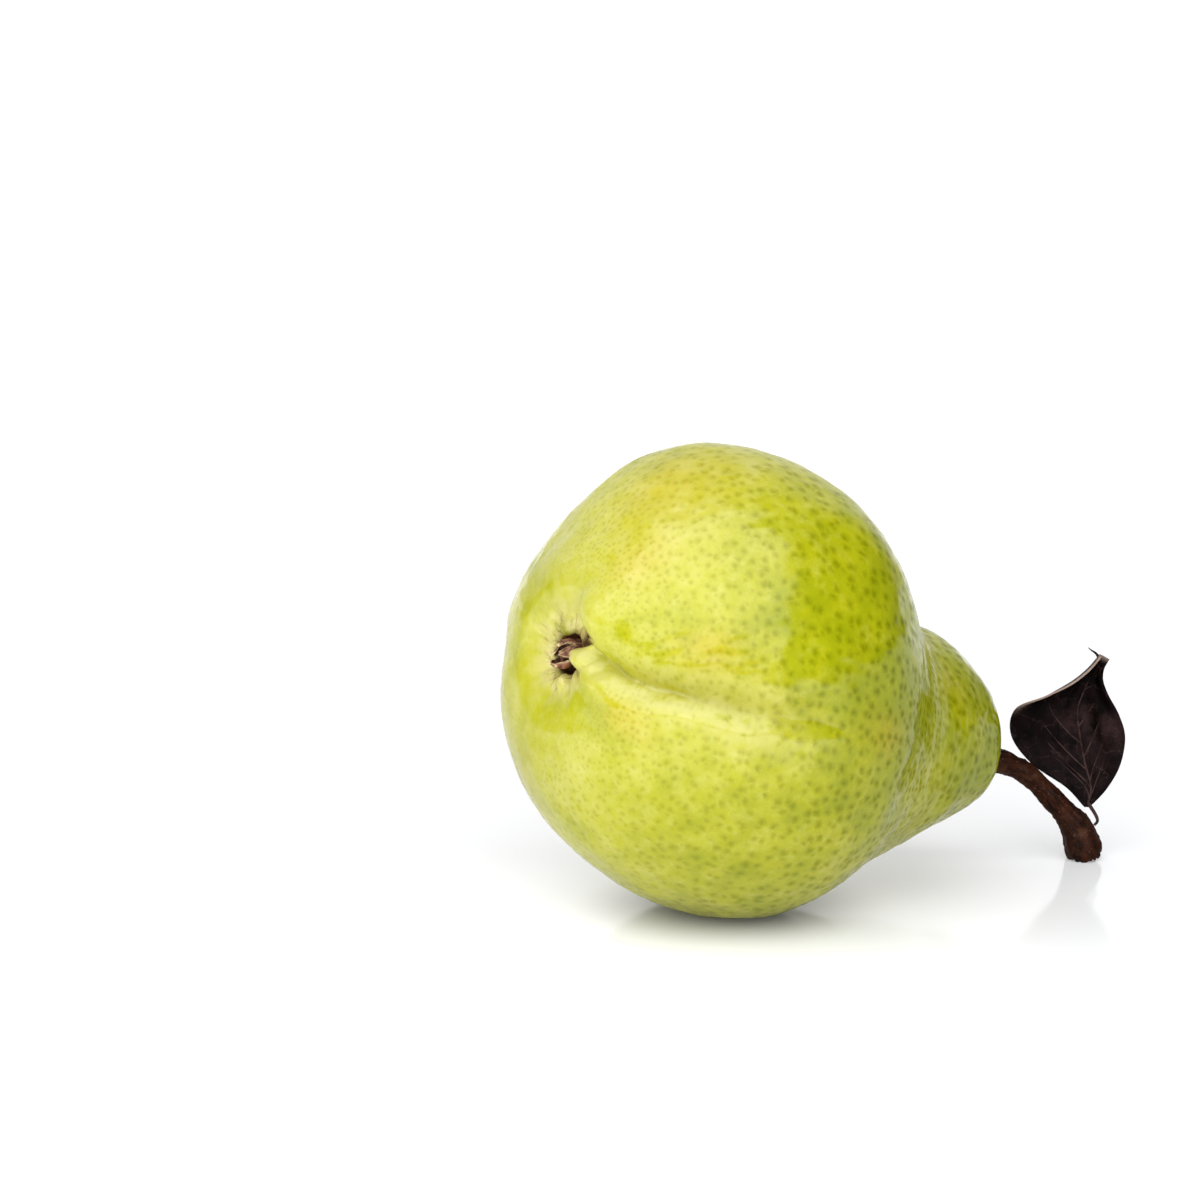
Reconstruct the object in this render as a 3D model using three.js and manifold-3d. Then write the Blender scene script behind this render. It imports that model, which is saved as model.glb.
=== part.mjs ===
// A ripe green pear lying on its side: the fruit, the dried calyx in its eye, its woody stem
// and one withered leaf. Lengths are millimetres, angles are degrees and +Z is up.
// The fruit's axis runs from the eye, towards -X, to the stem end, towards +X.

import * as THREE from 'three';
import { mergeVertices } from 'three/addons/utils/BufferGeometryUtils.js';
import Module from 'manifold-3d';

const wasm = await Module();
wasm.setup();

const { clamp, degToRad, lerp, smoothstep } = THREE.MathUtils;

// Driving dimensions
const pitch = 17; // slope of the fruit's axis, down towards the stem
const restHeight = 36.75; // height of that axis above the surface, at the belly
const lean = 0.12; // how far the belly leans back over its length, as a share of its height
const droop = 3.6; // how far the neck has sunk below the axis at the stem end
const sway = 1.2; // how far it has moved to the front there
const neckFrom = 12; // where along the axis the neck starts to bend
const neckReach = 43; // and the length that it bends over
const fruitRows = 60;
const fruitColumns = 64;

// The fruit's outline from the eye to the stem hole, as distance along the axis and radius.
// A station is a place on it: 0 is the first point, 1 the second, and so on.
const fruitOutline = [
  [-26.2, 0], // floor of the eye
  [-26.2, 2.6],
  [-28.9, 3.3],
  [-30.8, 6.4], // rim of the eye
  [-31.8, 11.6],
  [-29.4, 19.4],
  [-22, 28],
  [-10, 34.6],
  [3, 36.6], // belly
  [15, 33.6],
  [24.5, 27.4],
  [32, 22.4],
  [40, 19.2], // neck
  [48, 15.6],
  [53.2, 10.4],
  [54.8, 6.4], // rim of the stem hole
  [53.4, 3.8],
  [51, 2.6],
  [48, 2.3],
  [48, 0], // floor of the stem hole
];

// Swellings and hollows of the skin: station, angle round the axis (0 is up, 90 is the front,
// 180 is down), height, reach in stations, reach round in degrees
const swellings = [
  [2.8, 86, 1.3, 0.5, 14], // knob of flesh beside the eye
  [3.85, 52, 1.5, 0.6, 24], // cheek standing over the eye
  [2.7, 45, -1.3, 0.7, 24], // hollow under that cheek's edge
  [3, 270, -0.5, 1.2, 55], // low rim on the eye's far side
  [4.6, 285, -0.8, 1.3, 60], // flank on the far side
  [5.2, 185, 1, 1.2, 50], // lower cheek near the eye
  [5.5, 8, -2.2, 1.2, 65], // flattened above the eye
  [6.9, -10, 1.4, 1.2, 50], // crown of the upper cheek
  [8.6, 0, -0.7, 0.9, 50], // behind the crown
  [9.8, 0, -2, 1.2, 45], // upper shoulder, falling away
  [8.5, 34, 1.5, 0.7, 26], // front shoulder
  [10.2, 42, -1.6, 0.9, 34], // behind the front shoulder
  [7.6, 180, -1.2, 1.3, 55], // cheek that the fruit lies on
  [9.2, 180, -0.9, 0.9, 50], // underside of the shoulder
  [10, 150, -1, 0.9, 25], // and towards the front
  [8.3, 215, 0.8, 1.6, 28], // flank under the belly, far side
  [8.3, 150, -0.8, 1.6, 28], // and near side
  [6.4, 262, -0.9, 2.2, 14], // shallow furrow on the far side
  [6.8, 318, -0.6, 2, 16], // a second one, higher
  [11.1, 25, -2.2, 0.8, 72], // waist, deepest above
  [11, 5, -1, 0.7, 45], // and sharpest at its top
  [11.2, 98, 1.7, 0.9, 55], // waist filled out at the front
  [11.8, 162, -1.8, 1.5, 48], // waist cut in below
  [13.4, 180, -3.2, 1.3, 65], // underside of the neck
  [13.6, 150, -1.6, 1.1, 45], // and towards the front
  [12.3, 10, -0.3, 1.2, 60], // top of the neck
  [12.9, 90, 0.7, 1, 50], // bulge of the neck
  [14, 45, -1.2, 1, 50], // stem end, sloping off
  [14.3, 22, -1.6, 1.2, 15], // cleft at the stem end
];
const ovalHeight = 1; // the belly is a little taller than wide
const lobeHeight = 0.8; // and has three broad lobes
const lobeAngle = 150;
// Folds that run into the eye: angle, depth, width before and after it in degrees, station, reach
const eyeFolds = [
  [26, 1.4, 16, 9, 3, 0.8], // under the upper cheek's edge
  [70, 2.2, 10, 7, 2.7, 0.65], // between the cheek and the knob
  [146, 0.9, 9, 9, 2.6, 0.7],
  [232, 0.35, 12, 12, 2.6, 0.7],
  [288, 0.3, 12, 12, 2.6, 0.7],
  [328, 0.7, 11, 11, 2.5, 0.7],
];
const furrowAngle = 88; // the deep furrow from the eye across the front cheek
const furrowDepth = 2.4;
const furrowShelf = 0.55;

// The stem: its route beyond the fruit, and its outline as distance along it and radius
const stemBase = 48.6; // just clear of the floor of its hole
const stemRoute = [
  [57.1, -1.9, 17.4],
  [60.5, -3.1, 16.1],
  [63.1, -4.3, 14.3],
  [65.7, -5.8, 11.2],
  [68.2, -7.3, 8],
  [69.7, -8.2, 5.6],
  [70.5, -8.7, 3.3],
  [71.2, -9.1, 1.1],
];
const stemOutline = [
  [0, 0],
  [0, 1.6],
  [0.6, 1.9],
  [5, 2.1],
  [9, 2.15],
  [13, 2],
  [18, 1.75],
  [23, 1.8],
  [27, 2],
  [30, 2.4],
  [32.6, 2.95],
  [35, 3.1],
  [36.4, 2.7], // rim of the broken end
  [36, 1.6],
  [35.2, 0],
];
const stemRows = 46;
const stemColumns = 14;

// The leaf: its two edges from the base to the tip, seen from the front, and how it is cupped
const leafPlace = [72.8, -7.5, 8.4];
const leafTurn = -44; // it faces between -X and -Y
const leafThickness = 0.6;
const leafLeftEdge = [
  [-0.4, 0],
  [-3.5, 3.3],
  [-9.4, 7.3],
  [-12.9, 12.1],
  [-12.5, 17],
  [-7.6, 19.6],
  [-3.5, 21.8],
  [-0.6, 24.2],
  [1.3, 26.6],
];
const leafRightEdge = [
  [0.4, 0],
  [3.3, 3.3],
  [5.4, 7.3],
  [6.1, 12.1],
  [5, 16],
  [3.2, 19.4],
  [2.2, 22],
  [2.3, 24],
  [3.2, 25.6],
];
const leafRib = 0.6; // where the midrib runs, as a share of the way from left to right
const leafCup = 2.4;
const leafBow = 1.6;
const petioleRadius = 0.45;
const petioleRoute = [
  [1.4, -1.2, -2.8],
  [1.9, -0.9, -2.1],
  [1.5, -0.4, -1.1],
  [0.1, 0, 0.9],
];

// The dried calyx, seated in the eye
const calyxSeat = -26.6; // just clear of the eye's floor
const calyxRadius = 1.9;
const sepalCount = 5;
const sepalLength = 3.4;
const sepalWidth = 1.7;
const sepalThickness = 0.6;
const stamenCount = 7;
const stamenRadius = 0.3;

const tilt = degToRad(pitch);

// A smooth hump, 1 at its centre
function hump(value, centre, reach) {
  const far = (value - centre) / reach;
  return Math.exp(-far * far);
}

// The signed angle from one direction round the axis to another, -180 to 180
function turnFrom(start, angle) {
  return THREE.MathUtils.euclideanModulo(angle - start + 180, 360) - 180;
}

// How far the skin stands out from the turned outline
function skinHeight(station, angle) {
  let height = 0;
  for (const [at, direction, rise, reach, spread] of swellings) {
    height += rise * hump(station, at, reach) * hump(turnFrom(direction, angle), 0, spread);
  }
  const belly = smoothstep(station, 3, 7) * (1 - smoothstep(station, 10, 13));
  height += belly * ovalHeight * Math.cos(degToRad(2 * angle));
  height += belly * lobeHeight * Math.cos(degToRad(3 * (angle - lobeAngle)));
  return height + folds(station, angle) + furrow(station, angle);
}

// Soft folds that run into the eye
function folds(station, angle) {
  let height = 0;
  for (const [direction, depth, before, after, at, reach] of eyeFolds) {
    const away = turnFrom(direction, angle);
    const far = Math.abs(away / (away < 0 ? before : after));
    height -= depth * Math.exp(-(far ** 1.5)) * hump(station, at, reach);
  }
  return height * smoothstep(station, 0.8, 1.8);
}

// The furrow: a steep wall under the upper cheek, and below it a shelf that slopes out
function furrow(station, angle) {
  const line = furrowAngle - 14 * (1 - smoothstep(station, 3, 4.8)) + 6 * hump(station, 5.2, 2.6);
  const away = turnFrom(line, angle);
  const fade = smoothstep(station, 2.4, 3.8) * (1 - smoothstep(station, 5.4, 8.6));
  const shelf = (10 + 8 * (1 - smoothstep(station, 3.4, 5))) * (1 - 0.55 * smoothstep(station, 5, 7));
  const rise = 1 - away / shelf;
  const lower = (rise + Math.sqrt(rise * rise + 0.12)) / 2;
  const inner = Math.exp(-((Math.max(-away, 0) / 5) ** 1.4));
  const outer = Math.exp(-((Math.max(-away, 0) / 18) ** 1.4));
  const profile = away > 0 ? lower : 0.6 * inner + 0.4 * outer;
  return fade * (furrowShelf * hump(away, 1.15 * shelf, 0.7 * shelf) - furrowDepth * profile);
}

// Leans the belly back and lets the neck sink, in the fruit's own axes
function lolled(along, front, up) {
  const bent = Math.max(0, (along - neckFrom) / neckReach) ** 1.6;
  const leant = along - lean * (1 - smoothstep(along, 5, 40)) * up;
  return new THREE.Vector3(leant, front - sway * bent, up - droop * bent);
}

// A place on the fruit's axis, in the part's axes
function onAxis(along) {
  const point = lolled(along, 0, 0).applyAxisAngle(new THREE.Vector3(0, 1, 0), tilt);
  point.z += restHeight;
  return point;
}

// A solid turned about the X axis, from points given as distance along it and radius
function turned(points, rows, columns) {
  const outline = new THREE.SplineCurve(points.map(([along, radius]) => new THREE.Vector2(radius, along)));
  const profile = outline.getPoints(rows);
  for (const end of [profile[0], profile[rows]]) {
    end.x = 0;
  }
  return new THREE.LatheGeometry(profile, columns);
}

// Moves every point of a shape by a rule
function reshape(geometry, rule) {
  const position = geometry.attributes.position;
  for (let i = 0; i < position.count; i += 1) {
    const moved = rule(new THREE.Vector3().fromBufferAttribute(position, i), i);
    position.setXYZ(i, moved.x, moved.y, moved.z);
  }
  return geometry;
}

// Bends a solid that lies along the X axis so that it follows a curve
function bentAlong(geometry, curve, sideways) {
  const length = curve.getLength();
  return reshape(geometry, (point) => {
    const along = clamp(point.x, 0, length);
    const tangent = curve.getTangentAt(along / length);
    const side = sideways.clone().addScaledVector(tangent, -sideways.dot(tangent)).normalize();
    const other = new THREE.Vector3().crossVectors(tangent, side);
    const moved = curve.getPointAt(along / length).addScaledVector(tangent, point.x - along);
    return moved.addScaledVector(side, point.y).addScaledVector(other, point.z);
  });
}

function smoothCurve(points) {
  return new THREE.CatmullRomCurve3(points.map((point) => new THREE.Vector3(...point)), false, 'catmullrom');
}

// A closed sheet of even thickness. place(across, along) gives its middle surface, both 0 to 1.
function sheet(place, columns, rows, thickness) {
  const step = 0.01;
  const faces = [[], []];
  for (let row = 0; row <= rows; row += 1) {
    for (let column = 0; column <= columns; column += 1) {
      const across = column / columns;
      const along = row / rows;
      const left = place(Math.max(across - step, 0), along);
      const right = place(Math.min(across + step, 1), along);
      const below = place(across, Math.max(along - step, 0));
      const above = place(across, Math.min(along + step, 1));
      const normal = right.sub(left).cross(above.sub(below)).normalize();
      const middle = place(across, along);
      faces[0].push(middle.clone().addScaledVector(normal, thickness / 2));
      faces[1].push(middle.clone().addScaledVector(normal, -thickness / 2));
    }
  }
  const wide = columns + 1;
  const back = faces[0].length;
  const index = [];
  for (let row = 0; row < rows; row += 1) {
    for (let column = 0; column < columns; column += 1) {
      const a = row * wide + column;
      const c = a + wide + 1;
      index.push(a, a + 1, c, a, c, a + wide);
      index.push(back + a, back + c, back + a + 1, back + a, back + a + wide, back + c);
    }
  }
  const rim = [];
  for (let column = 0; column < columns; column += 1) rim.push(column);
  for (let row = 0; row < rows; row += 1) rim.push(row * wide + columns);
  for (let column = columns; column > 0; column -= 1) rim.push(rows * wide + column);
  for (let row = rows; row > 0; row -= 1) rim.push(row * wide);
  rim.forEach((a, i) => {
    const b = rim[(i + 1) % rim.length];
    index.push(a, back + a, back + b, a, back + b, b);
  });
  const geometry = new THREE.BufferGeometry().setFromPoints(faces.flat());
  geometry.setIndex(index);
  return geometry;
}

// Turns a closed geometry into a solid that can be joined to others
function solid(geometry) {
  const bare = new THREE.BufferGeometry();
  bare.setAttribute('position', geometry.attributes.position);
  bare.setIndex(geometry.index);
  const merged = mergeVertices(bare, 1e-4);
  const corners = merged.index.array;
  const kept = [];
  for (let i = 0; i < corners.length; i += 3) {
    const [a, b, c] = corners.slice(i, i + 3);
    if (a !== b && b !== c && c !== a) kept.push(a, b, c);
  }
  return new wasm.Manifold(new wasm.Mesh({
    numProp: 3,
    vertProperties: new Float32Array(merged.attributes.position.array),
    triVerts: new Uint32Array(kept),
  }));
}

// One geometry from several that overlap
function fused(geometries) {
  const whole = geometries.map(solid).reduce((joined, next) => joined.add(next)).getMesh();
  const geometry = new THREE.BufferGeometry();
  geometry.setAttribute('position', new THREE.BufferAttribute(whole.vertProperties, 3));
  geometry.setIndex(new THREE.BufferAttribute(whole.triVerts, 1));
  return geometry;
}

// Repeatable random numbers from 0 to 1
function drawsFrom(seed) {
  let state = seed;
  return () => {
    state = (state * 16807) % 2147483647;
    return state / 2147483647;
  };
}

function fruitGeometry() {
  const geometry = turned(fruitOutline, fruitRows, fruitColumns);
  const normal = geometry.attributes.normal;
  reshape(geometry, (point, i) => {
    const station = ((fruitOutline.length - 1) * (i % (fruitRows + 1))) / fruitRows;
    const angle = (360 * Math.floor(i / (fruitRows + 1))) / fruitColumns;
    const outward = new THREE.Vector3().fromBufferAttribute(normal, i);
    return point.addScaledVector(outward, skinHeight(station, angle));
  });
  geometry.rotateZ(-Math.PI / 2);
  return reshape(geometry, (point) => {
    const placed = lolled(point.x, point.y, point.z);
    const height = restHeight - placed.x * Math.sin(tilt) + placed.z * Math.cos(tilt);
    const pressed = Math.min(height, 0); // the spot that the fruit rests on is flat
    placed.x += pressed * Math.sin(tilt);
    placed.z -= pressed * Math.cos(tilt);
    return placed;
  });
}

function calyxGeometry() {
  const draw = drawsFrom(11);
  const button = turned(
    [[0, 0], [0, calyxRadius - 0.3], [-0.5, calyxRadius], [-1.1, calyxRadius - 0.5], [-0.9, 0]],
    10,
    15,
  );
  button.rotateZ(-Math.PI / 2);
  button.index.array.reverse();
  const pieces = [button];
  for (let i = 0; i < sepalCount; i += 1) {
    const curl = lerp(0.8, 1.25, draw());
    const length = sepalLength * lerp(0.8, 1, draw());
    const blade = sheet((across, along) => {
      const width = sepalWidth * (1 - 0.75 * along ** 1.5) * (across - 0.5);
      const radius = calyxRadius - 0.6 + 1.2 * Math.sin(Math.PI * along * curl);
      return new THREE.Vector3(-0.5 - length * along ** 0.9, width, radius);
    }, 3, 7, sepalThickness);
    blade.rotateX(degToRad((360 * i) / sepalCount + lerp(-9, 9, draw())));
    pieces.push(blade);
  }
  for (let i = 0; i < stamenCount; i += 1) {
    const length = lerp(1.6, 2.6, draw());
    const thread = turned([[0, 0], [0, stamenRadius], [length, stamenRadius * 0.8], [length, 0]], 6, 6);
    const reach = lerp(0.2, 0.95, draw());
    const route = smoothCurve([[-0.4, 0, reach * 0.8], [-1.6, 0, reach], [-0.6 - length, 0, reach * 0.5]]);
    thread.rotateZ(-Math.PI / 2);
    bentAlong(thread, route, new THREE.Vector3(0, 1, 0));
    thread.rotateX(degToRad((360 * i) / stamenCount + lerp(-15, 15, draw())));
    pieces.push(thread);
  }
  return fused(pieces).translate(calyxSeat, 0, 0);
}

function stemGeometry() {
  const geometry = turned(stemOutline, stemRows, stemColumns).rotateZ(-Math.PI / 2);
  reshape(geometry, (point) => {
    const angle = Math.atan2(point.z, point.y);
    const radius = Math.hypot(point.y, point.z);
    const free = smoothstep(point.x, 8, 14);
    const ridges = 0.08 * Math.sin(3 * angle + 0.25 * point.x) + 0.07 * Math.sin(1.1 * point.x);
    const scale = 1 + (free * ridges * Math.min(radius, 1)) / Math.max(radius, 1);
    const torn = smoothstep(point.x, 33.5, 35.5) * Math.min(radius / 2.5, 1);
    const ragged = torn * (0.35 * Math.sin(2 * angle + 1) + 0.2 * Math.sin(5 * angle));
    return new THREE.Vector3(point.x + ragged, point.y * scale, point.z * scale);
  });
  const route = [onAxis(stemBase).toArray(), onAxis(53.4).toArray(), ...stemRoute];
  bentAlong(geometry, smoothCurve(route), new THREE.Vector3(0, 1, 0));
  return reshape(geometry, (point) => {
    point.z = Math.max(point.z, 0); // its broken end bears on the surface
    return point;
  });
}

function leafGeometry() {
  const left = new THREE.SplineCurve(leafLeftEdge.map((point) => new THREE.Vector2(...point)));
  const right = new THREE.SplineCurve(leafRightEdge.map((point) => new THREE.Vector2(...point)));
  const blade = sheet((across, along) => {
    const spot = left.getPoint(along).lerp(right.getPoint(along), across);
    const fromRib = (across - leafRib) / leafRib;
    const middle = Math.sin(Math.PI * along);
    const forward = leafCup * fromRib * fromRib * middle - leafBow * middle;
    return new THREE.Vector3(spot.x, -forward, spot.y);
  }, 12, 14, leafThickness);
  const route = smoothCurve(petioleRoute);
  const length = route.getLength();
  const petiole = turned(
    [[0, 0], [0, petioleRadius * 1.3], [length * 0.3, petioleRadius], [length, petioleRadius], [length, 0]],
    12,
    8,
  );
  petiole.rotateZ(-Math.PI / 2);
  bentAlong(petiole, route, new THREE.Vector3(0, 1, 0));
  return fused([blade, petiole]);
}

function piece(name, geometry, color, roughness) {
  const mesh = new THREE.Mesh(geometry, new THREE.MeshStandardMaterial({ color, roughness, metalness: 0 }));
  mesh.name = name;
  return mesh;
}

const flesh = new THREE.Group();
flesh.rotation.y = tilt;
flesh.position.z = restHeight;
flesh.add(piece('fruit', fruitGeometry(), '#b7bf2b', 0.38));
flesh.add(piece('calyx', calyxGeometry(), '#4f2c1b', 0.9));

const leaf = piece('leaf', leafGeometry(), '#1c0f0e', 0.6);
leaf.position.set(...leafPlace);
leaf.rotation.z = degToRad(leafTurn);

const pear = new THREE.Group();
pear.add(flesh, piece('stem', stemGeometry(), '#4a2317', 0.75), leaf);

// The part's origin is under the middle of its box
const middle = new THREE.Box3().setFromObject(pear, true).getCenter(new THREE.Vector3());
pear.position.set(-middle.x, -middle.y, 0);

export default pear;
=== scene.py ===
import math

import bpy
import numpy as np
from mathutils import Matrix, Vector


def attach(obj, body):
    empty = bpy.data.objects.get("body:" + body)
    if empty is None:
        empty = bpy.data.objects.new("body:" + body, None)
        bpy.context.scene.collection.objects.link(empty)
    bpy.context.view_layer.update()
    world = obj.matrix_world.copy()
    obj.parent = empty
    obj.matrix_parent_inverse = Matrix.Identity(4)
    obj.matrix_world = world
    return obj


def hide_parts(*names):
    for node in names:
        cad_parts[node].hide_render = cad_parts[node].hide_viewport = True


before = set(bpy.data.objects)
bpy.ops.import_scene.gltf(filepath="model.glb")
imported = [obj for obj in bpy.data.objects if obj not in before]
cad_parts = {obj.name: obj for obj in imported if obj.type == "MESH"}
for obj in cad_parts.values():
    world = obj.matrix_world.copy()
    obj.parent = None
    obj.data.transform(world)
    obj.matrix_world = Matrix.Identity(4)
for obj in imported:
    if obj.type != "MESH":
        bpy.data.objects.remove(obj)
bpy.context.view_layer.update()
mm = 0.001
partShift = np.array([-22.13, -0.58, 0.0])  # from the fruit's own origin to the part's, in mm
print("frame loaded:", ", ".join(sorted(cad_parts)))


# goes from 0 to 1 between low and high, with soft ends
def smoothStep(value, low, high):
    share = np.clip((value - low) / (high - low), 0, 1)
    return share * share * (3 - 2 * share)


# a bell of height 1 round its centre
def hump(value, centre, reach):
    return np.exp(-(((value - centre) / reach) ** 2))


# degrees from start to an angle, from -180 to 180
def turnFrom(start, angle):
    return (angle - start + 180) % 360 - 180


# a smooth curve from here to after, which heeds the points before and beyond
def catmull(before, here, after, beyond, share):
    leaving, arriving = (after - before) / 2, (beyond - here) / 2
    cubic = (2 * here - 2 * after + leaving + arriving) * share ** 3
    square = (-3 * here + 3 * after - 2 * leaving - arriving) * share ** 2
    return cubic + square + leaving * share + here


# a smooth line through known points, at places from 0 to 1 along it
def splineAt(known, places):
    known = np.asarray(known, float)
    last = len(known) - 1
    spot = np.clip(places, 0, 1) * last
    start = np.minimum(np.floor(spot).astype(int), last)
    corners = [np.clip(start + step, 0, last) for step in (-1, 0, 1, 2)]
    return catmull(*[known[corner] for corner in corners], (spot - start)[..., None])


# unevenness of about -1 to 1, from waves in all directions, each about as long as size
def ripple(points, size, seed):
    waves = 26
    draw = np.random.default_rng(seed)
    total = np.zeros(points.shape[:-1])
    for wave in range(waves):
        direction = draw.normal(size=3)
        direction *= draw.uniform(0.65, 1.5) * 2 * math.pi / size / np.linalg.norm(direction)
        total += np.sin(points @ direction + draw.uniform(0, 2 * math.pi))
    return total / math.sqrt(2 * waves)


# a curve through points in space, which solids are bent along
class Route:
    def __init__(self, points):
        known = np.asarray(points, float)
        known = np.vstack([2 * known[0] - known[1], known, 2 * known[-1] - known[-2]])
        spot = np.linspace(0, len(points) - 1, 900)
        start = np.minimum(spot.astype(int), len(points) - 2)
        corners = [known[start + step] for step in range(4)]
        self.line = catmull(*corners, (spot - start)[:, None])
        steps = np.linalg.norm(np.diff(self.line, axis=0), axis=1)
        self.reach = np.concatenate([[0], np.cumsum(steps)])
        self.length = self.reach[-1]

    def at(self, along):
        inside = np.clip(along, 0, self.length)
        place = np.stack([np.interp(inside, self.reach, self.line[:, i]) for i in range(3)], -1)
        slopes = np.gradient(self.line, self.reach, axis=0)
        tangent = np.stack([np.interp(inside, self.reach, slopes[:, i]) for i in range(3)], -1)
        tangent /= np.linalg.norm(tangent, axis=-1, keepdims=True)
        return place + tangent * (along - inside)[..., None], tangent

    # moves points that lie along X on to the curve, with their Y kept as near to Y as it can be
    def bend(self, points):
        sideways = np.array([0.0, 1.0, 0.0])
        place, tangent = self.at(points[..., 0])
        side = sideways - tangent * (tangent @ sideways)[..., None]
        side /= np.linalg.norm(side, axis=-1, keepdims=True)
        return place + side * points[..., 1:2] + np.cross(tangent, side) * points[..., 2:3]


# an object in the scene, made from its data
def newObject(name, data):
    made = bpy.data.objects.new(name, data)
    bpy.context.scene.collection.objects.link(made)
    return made


# a mesh object with its place in its mesh, from points in the fruit's own axes
def meshPiece(name, points, faces, finish, attributes):
    points = (np.asarray(points, float) + partShift) * mm
    mesh = bpy.data.meshes.new(name)
    mesh.from_pydata(points.tolist(), [], faces)
    mesh.update()
    mesh.shade_smooth()
    mesh.materials.append(finish)
    for label, values in attributes.items():
        kind, field = ("FLOAT", "value") if values.ndim == 1 else ("FLOAT_VECTOR", "vector")
        layer = mesh.attributes.new(label, kind, "POINT")
        layer.data.foreach_set(field, values.astype(np.float32).ravel())
    return newObject(name, mesh)


# faces of rings of points whose first and last rings have shrunk to one point each
def ringFaces(rings, around):
    faces = []
    last = 1 + rings * around
    for i in range(around):
        j = (i + 1) % around
        faces.append((0, 1 + j, 1 + i))
        faces.append((last, last - around + i, last - around + j))
    for ring in range(rings - 1):
        a, b = 1 + ring * around, 1 + (ring + 1) * around
        for i in range(around):
            j = (i + 1) % around
            faces.append((a + i, a + j, b + j, b + i))
    return faces


# rings of points as one list, with the two poles as single points
def polesAndRings(grid):
    return np.concatenate([grid[0, :1], grid[1:-1].reshape(-1, grid.shape[-1]), grid[-1, :1]])


# several shapes as one, each given as its points, its faces and a value for each point
def joined(shapes):
    faces, start = [], 0
    for points, ownFaces, values in shapes:
        faces += [tuple(start + corner for corner in face) for face in ownFaces]
        start += len(points)
    points, values = [np.concatenate([shape[i] for shape in shapes]) for i in (0, 2)]
    return points, faces, values


# the points and faces of a closed sheet; place(across, along) gives its middle
def sheetShape(place, columns, rows, thickness):
    across, along = np.meshgrid(np.linspace(0, 1, columns + 1), np.linspace(0, 1, rows + 1))
    step = 0.004  # how far apart its slope is measured
    wide = place(np.minimum(across + step, 1), along) - place(np.maximum(across - step, 0), along)
    tall = place(across, np.minimum(along + step, 1)) - place(across, np.maximum(along - step, 0))
    normal = np.cross(wide, tall)
    normal /= np.linalg.norm(normal, axis=-1, keepdims=True) + 1e-12  # so that it is never zero
    middle = place(across, along)
    lift = normal * (thickness / 2)
    points = np.concatenate([(middle + lift).reshape(-1, 3), (middle - lift).reshape(-1, 3)])
    stride, back = columns + 1, (columns + 1) * (rows + 1)
    faces = []
    for row in range(rows):
        for column in range(columns):
            a = row * stride + column
            faces.append((a, a + 1, a + 1 + stride, a + stride))
            faces.append((back + a, back + a + stride, back + a + 1 + stride, back + a + 1))
    rim = list(range(columns)) + [row * stride + columns for row in range(rows)]
    rim += [rows * stride + column for column in range(columns, 0, -1)]
    rim += [row * stride for row in range(rows, 0, -1)]
    for here, after in zip(rim, rim[1:] + rim[:1]):
        faces.append((here, back + here, back + after, after))
    return points, faces, across, along


# a socket's value, so that sums of nodes read as ordinary sums
class Signal:
    def __init__(self, graph, socket):
        self.graph = graph
        self.socket = socket

    def __add__(self, other):
        return self.graph.sum("ADD", self, other)

    def __radd__(self, other):
        return self.graph.sum("ADD", other, self)

    def __sub__(self, other):
        return self.graph.sum("SUBTRACT", self, other)

    def __rsub__(self, other):
        return self.graph.sum("SUBTRACT", other, self)

    def __mul__(self, other):
        return self.graph.sum("MULTIPLY", self, other)

    def __rmul__(self, other):
        return self.graph.sum("MULTIPLY", other, self)


# a node tree of any kind
class Graph:
    # adds a node: its settings first, then the values or links of its inputs
    def node(self, kind, settings, inputs, output=0):
        made = self.tree.nodes.new(kind)
        for setting, value in settings.items():
            setattr(made, setting, value)
        for key, value in inputs.items():
            self.feed(made.inputs[key], value)
        return Signal(self, made.outputs[output])

    def feed(self, socket, value):
        if isinstance(value, Signal):
            self.tree.links.new(value.socket, socket)
        elif socket.type == "RGBA":
            socket.default_value = (*value, 1)
        else:
            socket.default_value = value

    def sum(self, operation, first, second):
        isNumber = all(
            value.socket.type == "VALUE" if isinstance(value, Signal) else not isinstance(value, tuple)
            for value in (first, second)
        )
        if isNumber:
            return self.node("ShaderNodeMath", {"operation": operation}, {0: first, 1: second})
        pair = [(value,) * 3 if isinstance(value, (int, float)) else value for value in (first, second)]
        return self.node("ShaderNodeVectorMath", {"operation": operation}, {0: pair[0], 1: pair[1]})

    # one number from vectors, such as their distance
    def measure(self, operation, *vectors):
        return self.node("ShaderNodeVectorMath", {"operation": operation}, dict(enumerate(vectors)), "Value")

    # goes from start to end as the value goes from low to high, with soft ends
    def ease(self, value, low, high, start=0.0, end=1.0):
        settings = {"interpolation_type": "SMOOTHSTEP"}
        return self.node("ShaderNodeMapRange", settings, {0: value, 1: low, 2: high, 3: start, 4: end})


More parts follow.
